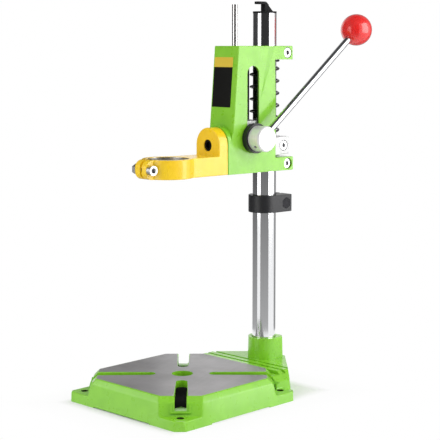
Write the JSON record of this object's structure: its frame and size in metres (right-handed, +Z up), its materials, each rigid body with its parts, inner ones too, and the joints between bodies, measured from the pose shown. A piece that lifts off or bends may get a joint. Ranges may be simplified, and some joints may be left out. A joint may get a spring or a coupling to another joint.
{
  "type": "drill stand",
  "caption": "Bench drill stand: slotted cast table, round column, rack-fed head with spring return, side lever and a clamping collar for a drill's neck.",
  "frame": {"origin": "middle of the table's four bench holes, on the bench plane", "axes": "+Z up along the column, -Y to the front where the collar is, +X to the lever's side"},
  "size_m": [0.1688, 0.3287, 0.4091],
  "materials": {
    "base_paint": "green gloss paint over cast iron, table face ground bare and grey",
    "head_paint": "green gloss paint over cast light alloy",
    "arm_paint": "yellow gloss paint over cast light alloy, bore machined bare",
    "cast_alloy": "bare fine cast light alloy",
    "column_chrome": "hard chrome plated steel tube",
    "steel": "turned and polished steel",
    "zinc": "bright zinc plated steel",
    "dark_screw": "black oxide steel",
    "spring_wire": "black coated spring steel",
    "black_plastic": "black moulded plastic, slight sheen",
    "red_knob": "red gloss phenolic"
  },
  "bodies": {
    "base": {"base_casting": "base_paint", "base_set_screw": "dark_screw"},
    "column": {"column_tube": "column_chrome", "column_cap": "black_plastic"},
    "depth_stop": {"stop_collar": "black_plastic", "stop_screw": "zinc", "stop_nut": "zinc"},
    "clamp": {"clamp_block": "cast_alloy", "clamp_screw": "zinc", "clamp_nut": "zinc", "pinion_bush": "black_plastic", "guide_rod": "steel", "return_spring": "spring_wire"},
    "lever": {"pinion_gear": "steel", "pinion_shaft": "steel", "lever_hub": "steel", "hub_set_screw": "dark_screw", "lever_rod": "steel", "lever_knob": "red_knob"},
    "carriage": {"head_housing": "head_paint", "feed_rack": "steel", "rack_screws": "zinc", "sleeve_screws": "zinc", "sleeve_nuts": "zinc", "arm_bolt": "dark_screw"},
    "arm": {"collar_arm": "arm_paint", "collar_screw": "zinc", "collar_nut": "zinc"}
  },
  "joints": [
    {"name": "column_swivel", "type": "hinge", "parent": "base", "child": "column", "pos_m": [0, 0.1232, 0.0474], "axis": [0, 0, 1], "range_deg": [-175, 175]},
    {"name": "stop_slide", "type": "slide", "parent": "column", "child": "depth_stop", "axis": [0, 0, 1], "range_m": [-0.13, 0]},
    {"name": "clamp_slide", "type": "slide", "parent": "column", "child": "clamp", "axis": [0, 0, 1], "range_m": [0, 0.03]},
    {"name": "feed", "type": "slide", "parent": "clamp", "child": "carriage", "axis": [0, 0, -1], "range_m": [0, 0.0255], "stiffness_N_per_m": 600, "springref_m": -0.05, "deforming": ["return_spring"]},
    {"name": "lever_turn", "type": "hinge", "parent": "clamp", "child": "lever", "pos_m": [0.03056, 0.08709, 0.266], "axis": [0.9969, -0.0785, 0], "range_deg": [0, 110]},
    {"name": "arm_tilt", "type": "hinge", "parent": "carriage", "child": "arm", "pos_m": [-0.00581, 0.04943, 0.2595], "axis": [-0.0785, -0.9969, 0], "range_deg": [-90, 90]}
  ],
  "couplings": [
    {"joint": "lever_turn", "follows": "feed", "rad_per_m": 74.074}
  ]
}
